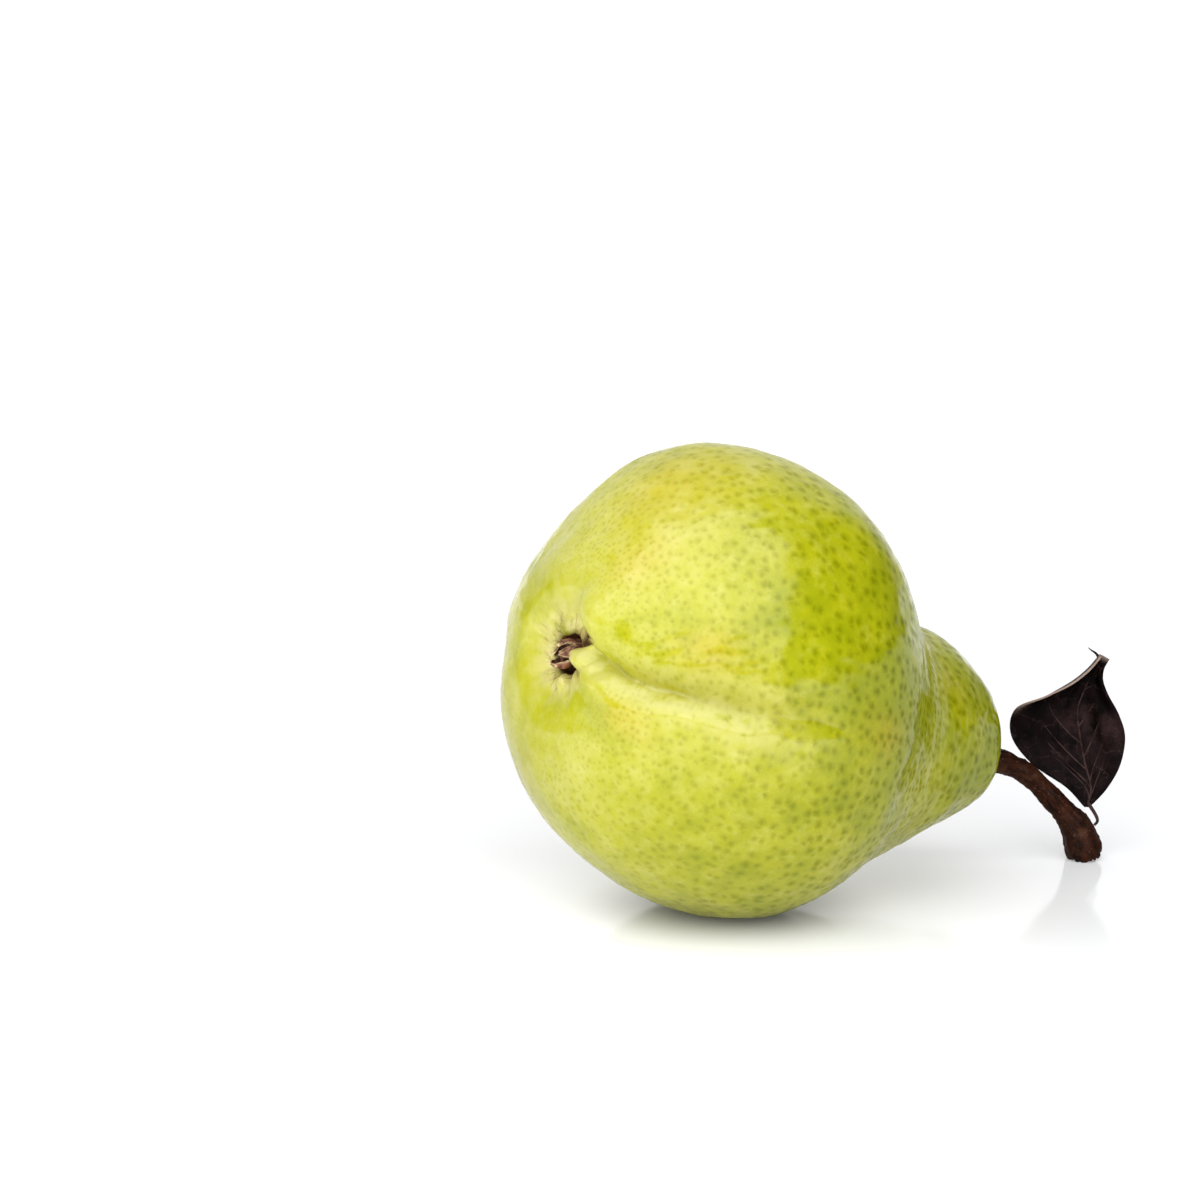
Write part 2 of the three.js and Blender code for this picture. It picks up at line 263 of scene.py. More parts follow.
# a material and the patterns that it is made from; lengths in it are millimetres
class Finish(Graph):
    def __init__(self, name, constants):
        self.material = bpy.data.materials.new(name)
        self.material.use_nodes = True
        self.tree = self.material.node_tree
        self.shader = self.tree.nodes["Principled BSDF"]
        for socket, value in constants.items():
            self.shader.inputs[socket].default_value = value

    def place(self):
        return self.node("ShaderNodeTexCoord", {}, {}, "Object") * (1 / mm, 1 / mm, 1 / mm)

    def attribute(self, name, output="Fac"):
        return self.node("ShaderNodeAttribute", {"attribute_name": name}, {}, output)

    def noise(self, place, scale, detail=2.0, roughness=0.5):
        inputs = {"Vector": place, "Scale": scale, "Detail": detail, "Roughness": roughness}
        return self.node("ShaderNodeTexNoise", {}, inputs)

    # what a place is moved by to make a pattern wander
    def wander(self, place, scale, amount):
        noise = self.node("ShaderNodeTexNoise", {}, {"Vector": place, "Scale": scale}, "Color")
        return (noise - 0.5) * amount

    def cells(self, place, scale, feature="F1"):
        inputs = {"Vector": place, "Scale": scale}
        return self.node("ShaderNodeTexVoronoi", {"feature": feature}, inputs, "Distance")

    def blend(self, first, second, share):
        return self.node("ShaderNodeMix", {"data_type": "RGBA"}, {0: share, 6: first, 7: second}, 2)

    def red(self, colour):
        return self.node("ShaderNodeSeparateColor", {}, {"Color": colour}, "Red")

    def finish(self, colour, roughness, height, depth=1.0):
        bump = self.node("ShaderNodeBump", {}, {"Strength": depth, "Distance": mm, "Height": height})
        self.feed(self.shader.inputs["Base Color"], colour)
        self.feed(self.shader.inputs["Roughness"], roughness)
        self.feed(self.shader.inputs["Normal"], bump)
        return self.material


# a geometry tree with named inputs, which is baked into a plain mesh
class Growth(Graph):
    def __init__(self, name, inputs):
        self.tree = bpy.data.node_groups.new(name, "GeometryNodeTree")
        self.tree.is_modifier = True
        sockets = self.tree.interface
        sockets.new_socket("Geometry", in_out="OUTPUT", socket_type="NodeSocketGeometry")
        sockets.new_socket("Geometry", in_out="INPUT", socket_type="NodeSocketGeometry")
        for label, kind in inputs.items():
            sockets.new_socket(label, in_out="INPUT", socket_type="NodeSocket" + kind)
        self.entry = self.tree.nodes.new("NodeGroupInput")
        self.exit = self.tree.nodes.new("NodeGroupOutput")

    def input(self, label):
        return Signal(self, self.entry.outputs[label])

    def end(self, geometry):
        real = self.node("GeometryNodeRealizeInstances", {}, {"Geometry": geometry})
        smooth = self.node("GeometryNodeSetShadeSmooth", {}, {"Geometry": real})
        inputs = {"Geometry": smooth, "Material": self.input("Finish")}
        dressed = self.node("GeometryNodeSetMaterial", {}, inputs)
        self.feed(self.exit.inputs[0], dressed)
        return self

    # grows the tree on an object and leaves the result in its place, as a mesh
    def grow(self, source, name, values):
        modifier = source.modifiers.new(name, "NODES")
        modifier.node_group = self.tree
        for item in self.tree.interface.items_tree:
            if item.in_out == "INPUT" and item.name in values:
                modifier[item.identifier] = values[item.name]
        grown = source.evaluated_get(bpy.context.evaluated_depsgraph_get())
        mesh = bpy.data.meshes.new_from_object(grown)
        bpy.data.objects.remove(source)
        mesh.name = name
        return newObject(name, mesh)


# round threads along the lines of a curve, as thick as its points say
def threadGrowth():
    growth = Growth("threads", {"Sides": "Int", "Thickness": "Float", "Finish": "Material"})
    inputs = {"Resolution": growth.input("Sides"), "Radius": 1.0}
    circle = growth.node("GeometryNodeCurvePrimitiveCircle", {}, inputs)
    radius = growth.node("GeometryNodeInputRadius", {}, {})
    inputs = {"Curve": growth.input("Geometry"), "Profile Curve": circle, "Fill Caps": True}
    inputs["Scale"] = radius * growth.input("Thickness")
    return growth.end(growth.node("GeometryNodeCurveToMesh", {}, inputs))


# small low mounds scattered over a surface
def moundGrowth():
    names = {"Spacing": "Float", "Smallest": "Float", "Largest": "Float", "Seed": "Int", "Finish": "Material"}
    growth = Growth("mounds", names)
    settings = {"distribute_method": "POISSON"}
    inputs = {"Mesh": growth.input("Geometry"), "Distance Min": growth.input("Spacing")}
    inputs.update({"Density Max": 3e6, "Seed": growth.input("Seed")})  # so dense that the spacing decides
    points = growth.node("GeometryNodeDistributePointsOnFaces", settings, inputs)
    turn = Signal(growth, points.socket.node.outputs["Rotation"])
    ball = growth.node("GeometryNodeMeshIcoSphere", {}, {"Radius": 1.0, "Subdivisions": 2})
    low = growth.node("GeometryNodeTransform", {}, {"Geometry": ball, "Scale": (1.0, 1.5, 0.45)})
    sizes = {2: growth.input("Smallest"), 3: growth.input("Largest"), "Seed": growth.input("Seed")}
    size = growth.node("FunctionNodeRandomValue", {"data_type": "FLOAT"}, sizes, 1)
    inputs = {"Points": points, "Instance": low, "Rotation": turn, "Scale": size}
    return growth.end(growth.node("GeometryNodeInstanceOnPoints", {}, inputs))


threads = threadGrowth()
mounds = moundGrowth()


# a curve object of straight runs between points, each with its own radius, all in mm
def linesObject(name, lines):
    curve = bpy.data.curves.new(name, "CURVE")
    curve.dimensions = "3D"
    for points, radii in lines:
        spline = curve.splines.new("POLY")
        spline.points.add(len(points) - 1)
        places = (np.asarray(points) + partShift) * mm
        spline.points.foreach_set("co", np.hstack([places, np.ones((len(places), 1))]).ravel())
        spline.points.foreach_set("radius", np.asarray(radii) * mm)
    return newObject(name, curve)


# where the camera stands; its aim is what the middle of the picture shows, in mm
view = {
    "pictureSize": 1200,
    "aim": (-35.44, 11.9, 50.2),
    "azimuth": -34.29,
    "elevation": 10.8,
    "distance": 620,
    "pixelsAcross": 3893.6,  # focal length in pixels
    "sensor": 36,
    "clip": (0.01, 60),  # in metres
}


# the direction from the pear towards a thing, from its azimuth and elevation in degrees
def wayTo(thing):
    turn, rise = math.radians(thing["azimuth"]), math.radians(thing["elevation"])
    return Vector((math.sin(turn) * math.cos(rise), -math.cos(turn) * math.cos(rise), math.sin(rise)))


def makeCamera():
    away = wayTo(view)
    data = bpy.data.cameras.new("camera")
    data.sensor_width = view["sensor"]
    data.lens = view["pixelsAcross"] * view["sensor"] / view["pictureSize"]
    data.clip_start, data.clip_end = view["clip"]
    camera = newObject("camera", data)
    camera.location = (Vector(view["aim"]) + away * view["distance"]) * mm
    camera.rotation_euler = (-away).to_track_quat("-Z", "Y").to_euler()
    bpy.context.scene.camera = camera


# sizes in metres, and its direction from a point a little above the floor
softBox = {
    "azimuth": -46,
    "elevation": 48,
    "distance": 0.8,
    "aimHeight": 0.04,
    "wide": 1.3,
    "tall": 1.34,
    "power": 16.4,
    "shine": 42,  # more power for its reflection alone, from a second light in the same place
}
# painted light that the floor gives off, though it is no lamp, is in rows: from and to in mm, and how much
# there is at each
studio = {
    "backdropTowards": (0.4, 0.74, 0.54),  # the white side of the room; the other side is dim
    "backdropEdge": (0.5, 0.86),  # cosines from there: where it is dim, where it is white
    "backdrop": 0.95,
    "dimSide": 0.1,
    "floorSize": 14,
    "floorCells": 24,
    "floorColour": (0.62, 0.625, 0.645),
    "floorRoughness": 0.11,
    "floorGlow": (90, 600, 0.23, 0.85),  # more of it far behind the pear
    "litTowards": (-0.83, -0.56, 0),  # and more towards the soft box, in two rows
    "litNear": (-10, 60, 0, 0.3),
    "litSide": (40, 200, 0, 1.5),
    # painted contact shadow: the floor's painted glow is cut round the spot that the pear rests on
    "restsAt": (-18, 0.5, 0),  # the pear keeps it from the floor round this spot
    "restShade": (8, 27, 0.12, 1.0),  # how much of it is left
}


def makeBackdrop():
    world = bpy.data.worlds.new("studio")
    world.use_nodes = True
    bpy.context.scene.world = world
    bpy.context.scene.view_settings.view_transform = "Standard"
    sky = Graph()
    sky.tree = world.node_tree
    direction = sky.node("ShaderNodeTexCoord", {}, {}, "Object")
    facing = sky.measure("DOT_PRODUCT", direction, studio["backdropTowards"])
    bright = sky.ease(facing, *studio["backdropEdge"], studio["dimSide"], studio["backdrop"])
    seen = sky.node("ShaderNodeLightPath", {}, {}, "Is Camera Ray")
    background = world.node_tree.nodes["Background"]
    background.inputs["Color"].default_value = (1, 1, 1, 1)
    sky.feed(background.inputs["Strength"], bright + seen * (1 - bright))


def makeSoftBox():
    away = wayTo(softBox)
    data = bpy.data.lights.new("softBox", "AREA")
    data.shape = "RECTANGLE"
    data.size, data.size_y, data.energy = softBox["wide"], softBox["tall"], softBox["power"]
    shine = data.copy()
    shine.energy = softBox["shine"]
    for name, light in (("softBox", data), ("softBoxShine", shine)):
        lamp = newObject(name, light)
        lamp.location = away * softBox["distance"] + Vector((0, 0, softBox["aimHeight"]))
        lamp.rotation_euler = (-away).to_track_quat("-Z", "Y").to_euler()
        lamp.visible_camera = False
        lamp.visible_diffuse = name == "softBox"


def floorFinish():
    paint = Finish("glowingFloorLacquer", {
        "Base Color": (*studio["floorColour"], 1), "IOR": 1.45,
        "Specular IOR Level": 0.4, "Emission Strength": 1.0,
    })
    place = paint.place()
    side = paint.measure("DOT_PRODUCT", place, studio["litTowards"])
    # painted light: the floor glows more far off and towards the soft box, and less round the pear as a
    # painted contact shadow
    glow = paint.ease(paint.measure("LENGTH", place), *studio["floorGlow"])
    glow = glow + paint.ease(side, *studio["litNear"]) + paint.ease(side, *studio["litSide"])
    glow = glow * paint.ease(paint.measure("DISTANCE", place, studio["restsAt"]), *studio["restShade"])
    cloud = paint.noise(place, 0.01, 3) - 0.5
    paint.feed(paint.shader.inputs["Emission Color"], glow * (1.0, 1.0, 1.0))
    paint.feed(paint.shader.inputs["Roughness"], studio["floorRoughness"] + cloud * 0.05)
    return paint.material


def makeFloor():
    size, cells = studio["floorSize"], studio["floorCells"]
    ticks = np.linspace(-size / 2, size / 2, cells + 1)
    points = [(x, y, 0) for y in ticks for x in ticks]
    stride = cells + 1
    corners = [row * stride + column for row in range(cells) for column in range(cells)]
    faces = [(corner, corner + 1, corner + stride + 1, corner + stride) for corner in corners]
    mesh = bpy.data.meshes.new("floor")
    mesh.from_pydata(points, [], faces)
    mesh.materials.append(floorFinish())
    floor = newObject("floor", mesh)


makeCamera()
makeBackdrop()
makeSoftBox()
makeFloor()
print("camera, floor and lights made")


# a station is a place along the outline, counted in its points; an angle round the axis is
# 0 at the top and 90 in front; a reach is in stations, a spread in degrees and the rest in mm
fruit = {
    "pitch": 17,  # degrees that its axis slopes down towards the stem
    "restHeight": 36.75,
    "lean": 0.12,  # that the belly leans back for each mm of height, and where it stops leaning
    "leanEnds": (5, 40),
    "droop": 3.6,  # that the neck sinks, and comes forward, at its end
    "sway": 1.2,
    "neckFrom": 12,
    "neckReach": 43,
    "neckCurve": 1.6,
    "rows": 294,
    "columns": 326,
    "columnPull": 18,  # degrees that the columns are drawn towards the furrow
    # from the eye to the stem hole: distance along the axis and radius
    "outline": [
        (-26.2, 0), (-26.2, 2.6), (-28.9, 3.3), (-30.8, 6.4), (-31.8, 11.6), (-29.4, 19.4), (-22, 28),
        (-10, 34.6), (3, 36.6), (15, 33.6), (24.5, 27.4), (32, 22.4), (40, 19.2), (48, 15.6),
        (53.2, 10.4), (54.8, 6.4), (53.4, 3.8), (51, 2.6), (48, 2.3), (48, 0),
    ],
    # swellings and hollows: station, angle, height, reach, spread
    "swellings": [
        (3.85, 52, 1.5, 0.6, 24), (3, 270, -0.5, 1.2, 55), (2.7, 45, -1.3, 0.7, 24),
        (1.8, 280, -0.8, 0.5, 70), (2.9, 348, -0.7, 0.3, 28), (4.6, 285, -0.8, 1.3, 60),
        (5.2, 185, 1, 1.2, 50), (5.5, 8, -2.2, 1.2, 65), (6.9, -10, 1.4, 1.2, 50), (8.6, 0, -0.7, 0.9, 50),
        (9.8, 0, -2, 1.2, 45), (8.5, 34, 1.5, 0.7, 26), (10.2, 42, -1.6, 0.9, 34),
        (11.2, 98, 1.7, 0.9, 55), (7.6, 180, -1.2, 1.3, 55),
        (9.2, 180, -0.9, 0.9, 50), (8.3, 215, 0.8, 1.6, 28), (8.3, 150, -0.8, 1.6, 28),
        (6.4, 262, -0.9, 2.2, 14), (6.8, 318, -0.6, 2, 16), (11.1, 25, -2.2, 0.8, 72),
        (11, 5, -1, 0.7, 45), (10, 150, -1, 0.9, 25), (11.8, 162, -1.8, 1.5, 48), (13.4, 180, -3.2, 1.3, 65),
        (13.6, 150, -1.6, 1.1, 45), (12.3, 10, -0.3, 1.2, 60), (12.9, 90, 0.7, 1, 50), (14, 45, -1.2, 1, 50),
        (14.3, 22, -1.6, 1.2, 15),
    ],
    "ovalHeight": 1,
    "lobeHeight": 0.8,
    "lobeAngle": 150,
    # folds round the eye: angle, depth, width before and after it in degrees, station and reach
    "eyeFolds": [
        (26, 1.7, 16, 7, 3.0, 0.8), (70, 2.7, 8, 4, 2.7, 0.65), (116, 0.7, 5, 4, 2.5, 0.4),
        (146, 1.0, 4, 5, 2.6, 0.7), (184, 0.6, 4, 6, 2.5, 0.6), (232, 0.35, 10, 10, 2.6, 0.7),
        (288, 0.3, 12, 9, 2.6, 0.7), (328, 0.7, 9, 8, 2.5, 0.7),
    ],
    "wedgeAngle": 58,
    # round beads of flesh at the eye's rim: station, angle, height, size along and around in mm
    "beads": [(2.8, 84, 2.1, 2.2, 2.2), (2.45, 166, 1, 1.6, 1.3), (2.2, 344, 1.3, 1.3, 2.6)],
    "rimRadius": 5,
    "rimStation": 3.4,  # the length of a station there
    "furrowAngle": 88,
    "furrowHook": 14,  # degrees that its line turns up beside the eye
    "furrowBow": 6,  # degrees that it sags in its middle
    "furrowWobble": 0.8,
    "furrowEnds": (2.4, 3.8, 4.6, 8.6),  # stations where it starts, is whole, starts to fade, is gone
    "furrowDepth": 2.9,
    "shelfWidth": 10,  # in degrees, and how much wider it is beside the eye
    "shelfAtEye": 8,
    "shelfLip": 0.6,
    # fine relief on top of that
    "unevenness": ((17, 0.16), (6.5, 0.1), (2.6, 0.045)),  # size of each wave and its height
    "eyeWrinkles": 0.05,
    "waistWrinkles": 0.05,
    "holeWrinkles": 0.16,
    # tints: station, angle, reach, spread, amount; the cream one at station 5.4 and angle 158, low on the
    # belly, is painted light from the bright floor
    "ripeSpotsAndFloorLight": [
        (3.6, 60, 2, 90, 0.5), (4.2, 280, 1.6, 70, 0.25), (5.6, 20, 1.6, 40, 0.25),
        (5.2, 95, 0.9, 12, 0.2), (4.7, 68, 1.7, 20, -0.35), (7.6, 80, 1.2, 26, -0.25),
        (4, 300, 1.4, 40, -0.2), (5.4, 158, 1.3, 24, 0.3), (6.5, 96, 1.6, 16, 0.2),
        (4.2, 120, 0.7, 14, -0.5), (9, 62, 1.2, 30, -0.35), (8.6, 105, 1.2, 28, -0.15),
        (10.5, 100, 1.4, 60, -0.05), (12.8, 80, 1.4, 70, -0.45), (6.4, 150, 1.6, 34, -0.1),
        (2.2, 346, 0.4, 28, -1.2), (12, 280, 1.6, 70, -0.2), (8, 250, 2, 50, 0.1),
    ],
    "russetSpots": [
        (6.2, 14, 0.9, 15, 0.6), (5.25, 37, 0.55, 10, 0.6), (5.95, 76, 0.45, 7, 0.7),
        (8.55, 90, 0.35, 6, 0.6), (3.1, 118, 0.3, 9, 1.0), (4.9, 112, 0.5, 8, 0.7),
        (7.2, 300, 0.5, 8, 0.5), (9.6, 240, 0.5, 9, 0.4), (5.3, 200, 0.5, 9, 0.4),
        (11.4, 60, 0.4, 12, 0.3),
    ],
    "green": (0.215, 0.24, 0.001),
    "yellow": (0.35, 0.345, 0.005),
    "cream": (0.455, 0.44, 0.12),
    "waistHighlightCream": (0.44, 0.43, 0.2),
    "russet": (0.46, 0.29, 0.015),
    "rubMark": (0.13, 0.08, 0.03),
    "shelfHighlightCream": (0.44, 0.42, 0.12),
    "flesh": (0.5, 0.45, 0.17),
    "tanStreak": (0.28, 0.16, 0.05),
    "dryAndShadowDark": (0.03, 0.01, 0.004),
    "dryAndShadowBrown": (0.12, 0.055, 0.02),
    # what the skin's colour is multiplied by in a pore, in its middle, in a fine dot and in the crease, where
    # it is painted shade
    "poreShade": (0.62, 0.63, 0.01),
    "coreShade": (0.8, 0.76, 0.5),
    "dotShade": (0.8, 0.84, 0.5),
    "creasePaintedShade": (0.66, 0.63, 0.3),
    "poreScale": 0.5,  # pores in a mm on the belly
    "peel": 0.2,  # height of the dimples of its peel, in mm
    "wax": 0.8,
}


def furrowBow(station):
    return fruit["furrowBow"] * hump(station, 5.2, 2.6)


# the upper cheek rolls over a crease, and the cheek below it starts with a shelf
def furrow(station, angle):
    hook = fruit["furrowHook"] * (1 - smoothStep(station, 3, 4.8))
    line = fruit["furrowAngle"] - hook + furrowBow(station)
    line = line + fruit["furrowWobble"] * np.sin(7 * station) * np.sin(3.1 * station + 1)
    away = turnFrom(line, angle) * (1 + 0.12 * np.sin(5.3 * station + 0.1 * angle))
    start, whole, fading, gone = fruit["furrowEnds"]
    fade = smoothStep(station, start, whole) * (1 - smoothStep(station, fading, gone))
    shelf = fruit["shelfWidth"] + fruit["shelfAtEye"] * (1 - smoothStep(station, 3.4, 5))
    shelf = shelf * (1 - 0.5 * smoothStep(station, 4.4, 6.4))  # half as wide further along
    rise = 1 - away / shelf
    lower = (rise + np.sqrt(rise * rise + 0.2)) / 2
    above = np.maximum(-away, 0)
    upper = 0.6 * np.exp(-((above / 5) ** 1.4)) + 0.4 * np.exp(-((above / 18) ** 1.4))
    profile = np.where(away > 0, lower, upper)
    lip = fruit["shelfLip"] * shelf / 12 * hump(away, 1.15 * shelf, 0.7 * shelf)
    return fade * (lip - fruit["furrowDepth"] * profile)


def eyeFolds(station, angle):
    total = np.zeros_like(station)
    for direction, depth, before, after, at, reach in fruit["eyeFolds"]:
        away = turnFrom(direction, angle)
        width = np.where(away < 0, before, after)
        total -= depth * np.exp(-(np.abs(away / width) ** 1.5)) * hump(station, at, reach)
    return total * smoothStep(station, 0.8, 1.8)


def beads(station, angle):
    total = np.zeros_like(station)
    for at, direction, rise, along, around in fruit["beads"]:
        outAlong = (station - at) * fruit["rimStation"] / along
        outAround = np.radians(turnFrom(direction, angle)) * fruit["rimRadius"] / around
        total += rise * np.maximum(1 - (outAlong ** 2 + outAround ** 2), 0) ** 0.7
    return total


# a soft patch of the skin round one station and one angle
def patch(station, angle, at, direction, reach, spread, amount):
    return amount * hump(station, at, reach) * hump(turnFrom(direction, angle), 0, spread)


def skinHeight(station, angle):
    height = eyeFolds(station, angle) + furrow(station, angle) + beads(station, angle)
    for at, direction, rise, reach, spread in fruit["swellings"]:
        height += patch(station, angle, at, direction, reach, spread, rise)
    belly = smoothStep(station, 3, 7) * (1 - smoothStep(station, 10, 13))
    height += belly * fruit["ovalHeight"] * np.cos(np.radians(2 * angle))
    height += belly * fruit["lobeHeight"] * np.cos(np.radians(3 * (angle - fruit["lobeAngle"])))
    return height


# wrinkles that run out from the eye, round the waist and into the stem hole
def fineRelief(station, angle, points):
    turn = np.radians(angle)
    height = np.zeros_like(station)
    for size, rise in fruit["unevenness"]:
        height += rise * ripple(points, size, int(size * 10)) * smoothStep(station, 2, 6)
    spokes = np.stack([11 * np.cos(turn), 11 * np.sin(turn), 2 * station], -1)
    ridge = 1 - 2 * np.abs(ripple(spokes, 2.4, 5))
    height += fruit["eyeWrinkles"] * ridge * hump(station, 2.4, 0.7) * smoothStep(station, 1, 2)
    rings = np.stack([2.2 * np.cos(turn), 2.2 * np.sin(turn), 9 * station], -1)
    height += fruit["waistWrinkles"] * ripple(rings, 2.6, 8) * hump(station, 11.2, 0.55)
    ridge = 1 - 2 * np.abs(ripple(spokes * (0.8, 0.8, 0.6), 2.6, 9))
    height += fruit["holeWrinkles"] * ridge * hump(station, 15.2, 0.9)
    return height


def spotsAt(spots, station, angle):
    total = np.zeros_like(station)
    for spot in spots:
        total += patch(station, angle, *spot)
    return total


# leans the belly back and lets the neck sink, in the fruit's own axes
def lolled(points):
    along, front, up = points[..., 0], points[..., 1], points[..., 2]
    bent = np.maximum(0, (along - fruit["neckFrom"]) / fruit["neckReach"]) ** fruit["neckCurve"]
    leant = along - fruit["lean"] * (1 - smoothStep(along, *fruit["leanEnds"])) * up
    return np.stack([leant, front - fruit["sway"] * bent, up - fruit["droop"] * bent], -1)


# lays the fruit's own axes down at their slope, at the height that it rests at
def laidDown(points):
    slope = math.radians(fruit["pitch"])
    along, front, up = points[..., 0], points[..., 1], points[..., 2]
    x = along * math.cos(slope) + up * math.sin(slope)
    z = fruit["restHeight"] - along * math.sin(slope) + up * math.cos(slope)
    return np.stack([x, front, z], -1)


# yellow over green, in clouds of several sizes, drawn out round the neck, with a patch of painted floor light
# low on the belly
def ripeColour(skin, place, drawn):
    clouds = (skin.noise(place, 0.075, 3, 0.55) - 0.5) * 0.8 + (skin.noise(place, 0.22, 4, 0.6) - 0.5) * 0.9
    grain = skin.noise(place, 1.3, 3, 0.6) - 0.5
    mottle = skin.noise(place, 0.4, 3, 0.6) - 0.5
    streaks = drawn * skin.attribute("neck")
    ripenessAndFloorLight = skin.attribute("ripeAndFloorLight") + 0.56 + clouds + grain * 0.3 + streaks * 0.8
    colour = skin.blend(fruit["green"], fruit["yellow"], skin.ease(ripenessAndFloorLight, 0.0, 0.85))
    return skin.blend(colour, fruit["cream"], skin.ease(ripenessAndFloorLight + mottle * 1.1, 0.35, 1.5) * 0.75)


# pores: soft olive spots with a darker middle, none beside the eye
def poreMasks(skin, place, nearEye):
    wander = skin.wander(place, 0.8, 1.1)
    bold = skin.attribute("bold")
    near = skin.ease(nearEye, 7, 20) * (0.5 + bold * 0.5)
    halo, core = 0.0, 0.0
    for label in ("poresFront", "poresBack", "poresNeckFront", "poresNeckBack"):
        spot = skin.attribute(label, "Vector")
        weight = skin.node("ShaderNodeSeparateXYZ", {}, {0: spot}, 2)
        inputs = {"Vector": spot + wander, "Scale": fruit["poreScale"], "Randomness": 0.8}
        pore = skin.node("ShaderNodeTexVoronoi", {"voronoi_dimensions": "2D"}, inputs)
        kind = skin.red(Signal(skin, pore.socket.node.outputs["Color"]))
        edge = 0.33 + kind * 0.24 + bold * 0.1
        shown = weight * near * skin.ease(kind, 0.0, 0.5, 0.5, 1.0)
        halo = halo + skin.ease(pore, edge, 0.0) * shown
        core = core + skin.ease(pore, edge * 0.4, 0.0) * shown
    return halo, core


# the eye: pale flesh, tan streaks at the rim, then dry brown, which is also painted into the wedge beside the
# eye as shade
def eyeColour(skin, colour, place, web, nearEye):
    pale = skin.ease(nearEye, 10, 4.5) * skin.ease(skin.noise(place, 0.4, 3), 0.3, 0.6, 0.4, 1.0)
    pale = pale * skin.ease(skin.attribute("ripeAndFloorLight"), -0.9, -0.2)
    # painted highlight: pale cream along the shelf under the crease, where the soft box is reflected
    shelf = skin.attribute("shelf") * skin.ease(skin.noise(place, 0.5, 3), 0.3, 0.55)
    colour = skin.blend(colour, fruit["shelfHighlightCream"], shelf * 0.6)
    colour = skin.blend(colour, fruit["flesh"], pale * 0.7)
    streaks = skin.ease(skin.noise(web * (1.6, 7, 7), 1.0, 4, 0.6), 0.5, 0.66) * skin.ease(nearEye, 5, 3.2)
    colour = skin.blend(colour, fruit["tanStreak"], streaks * 0.6)
    # dry brown in the eye and the stem hole, and painted shadow in the wedge between the sepals and the cheek
    crumbs = skin.ease(skin.noise(place, 2.2, 4, 0.7), 0.35, 0.7)
    dryAndShade = skin.blend(fruit["dryAndShadowDark"], fruit["dryAndShadowBrown"], crumbs)
    return skin.blend(colour, dryAndShade, skin.attribute("inside"))


def skinFinish():
    skin = Finish("pearSkin", {
        "IOR": 1.46, "Specular IOR Level": 0.0, "Coat Roughness": 0.15, "Coat IOR": 1.45,
        "Subsurface Weight": 0.1, "Subsurface Radius": (1.0, 0.8, 0.15), "Subsurface Scale": 0.0014,
    })
    place = skin.place()
    web = skin.attribute("web", "Vector")  # station, and the direction round the axis
    nearEye = skin.attribute("eyeDistance")
    waist = skin.attribute("waist")
    inside = skin.attribute("inside")
    drawn = skin.noise(web * (6, 2.4, 2.4), 1.0, 3, 0.6) - 0.5
    colour = ripeColour(skin, place, drawn)
    # painted highlight: whitish cream streaks in the waist's valley, where light is reflected
    colour = skin.blend(colour, fruit["waistHighlightCream"], waist * skin.ease(drawn, -0.1, 0.2) * 0.4)
    # warm russet clouds, made of fine specks
    speck = skin.ease(skin.noise(place, 1.6, 4, 0.7), 0.42, 0.6)
    colour = skin.blend(colour, fruit["russet"], skin.attribute("russet") * (0.35 + 0.65 * speck) * 0.6)
    halo, core = poreMasks(skin, place, nearEye)
    colour = skin.blend(colour, colour * fruit["poreShade"], halo)
    colour = skin.blend(colour, colour * fruit["coreShade"], core * 0.4)
    dots = skin.ease(skin.cells(place, 1.35), 0.34, 0.05) * skin.ease(nearEye, 2, 9)
    colour = skin.blend(colour, colour * fruit["dotShade"], dots * 0.4)
    # painted shade along the crease, where the upper cheek rolls under
    colour = skin.blend(colour, colour * fruit["creasePaintedShade"], skin.attribute("crease") * 0.9)
    # a few brown rub marks
    marks = skin.ease(skin.noise(place, 0.55, 6, 0.8), 0.72, 0.76)
    marks = marks * skin.ease(skin.noise(place, 0.06, 1), 0.5, 0.62)
    colour = skin.blend(colour, fruit["rubMark"], marks * 0.6)
    colour = eyeColour(skin, colour, place, web, nearEye)
    # the skin under its wax, dimpled like peel, and drawn into fine lines at the waist
    dull = 0.45 + (skin.noise(place, 0.5, 3) - 0.5) * 0.1 + inside * 0.4
    skin.feed(skin.shader.inputs["Coat Weight"], fruit["wax"] - inside * 0.7 - waist * 0.4 - halo * 0.35)
    peel = skin.noise(place, 0.4, 3, 0.5) * fruit["peel"] + skin.noise(place, 1.5, 2, 0.5) * 0.02
    lines = skin.noise(web * (26, 6, 6), 1.0, 3, 0.6) * waist * 0.06
    return skin.finish(colour, dull, peel - core * 0.01 + lines)


# the skin's points at stations and angles, laid down, and the plain round body under them
def skinPoints(station, angle, lift=0.0):
    last = len(fruit["outline"]) - 1
    step = 0.03  # in stations, each way, to measure the outline's slope
    known = splineAt(fruit["outline"], station / last)
    slope = splineAt(fruit["outline"], (station + step) / last)
    slope -= splineAt(fruit["outline"], (station - step) / last)
    slope /= np.linalg.norm(slope, axis=-1, keepdims=True)
    turn = np.radians(angle)
    axis = np.array([1.0, 0, 0])
    ring = np.stack([np.zeros_like(turn), -np.sin(turn), np.cos(turn)], -1)
    outward = slope[..., :1] * ring - slope[..., 1:] * axis
    base = known[..., :1] * axis + known[..., 1:] * ring
    height = skinHeight(station, angle) + fineRelief(station, angle, base) + lift
    points = laidDown(lolled(base + outward * height[..., None]))
    points[..., 2] = np.maximum(points[..., 2], 0)  # the spot that it rests on is flat
    return points, base


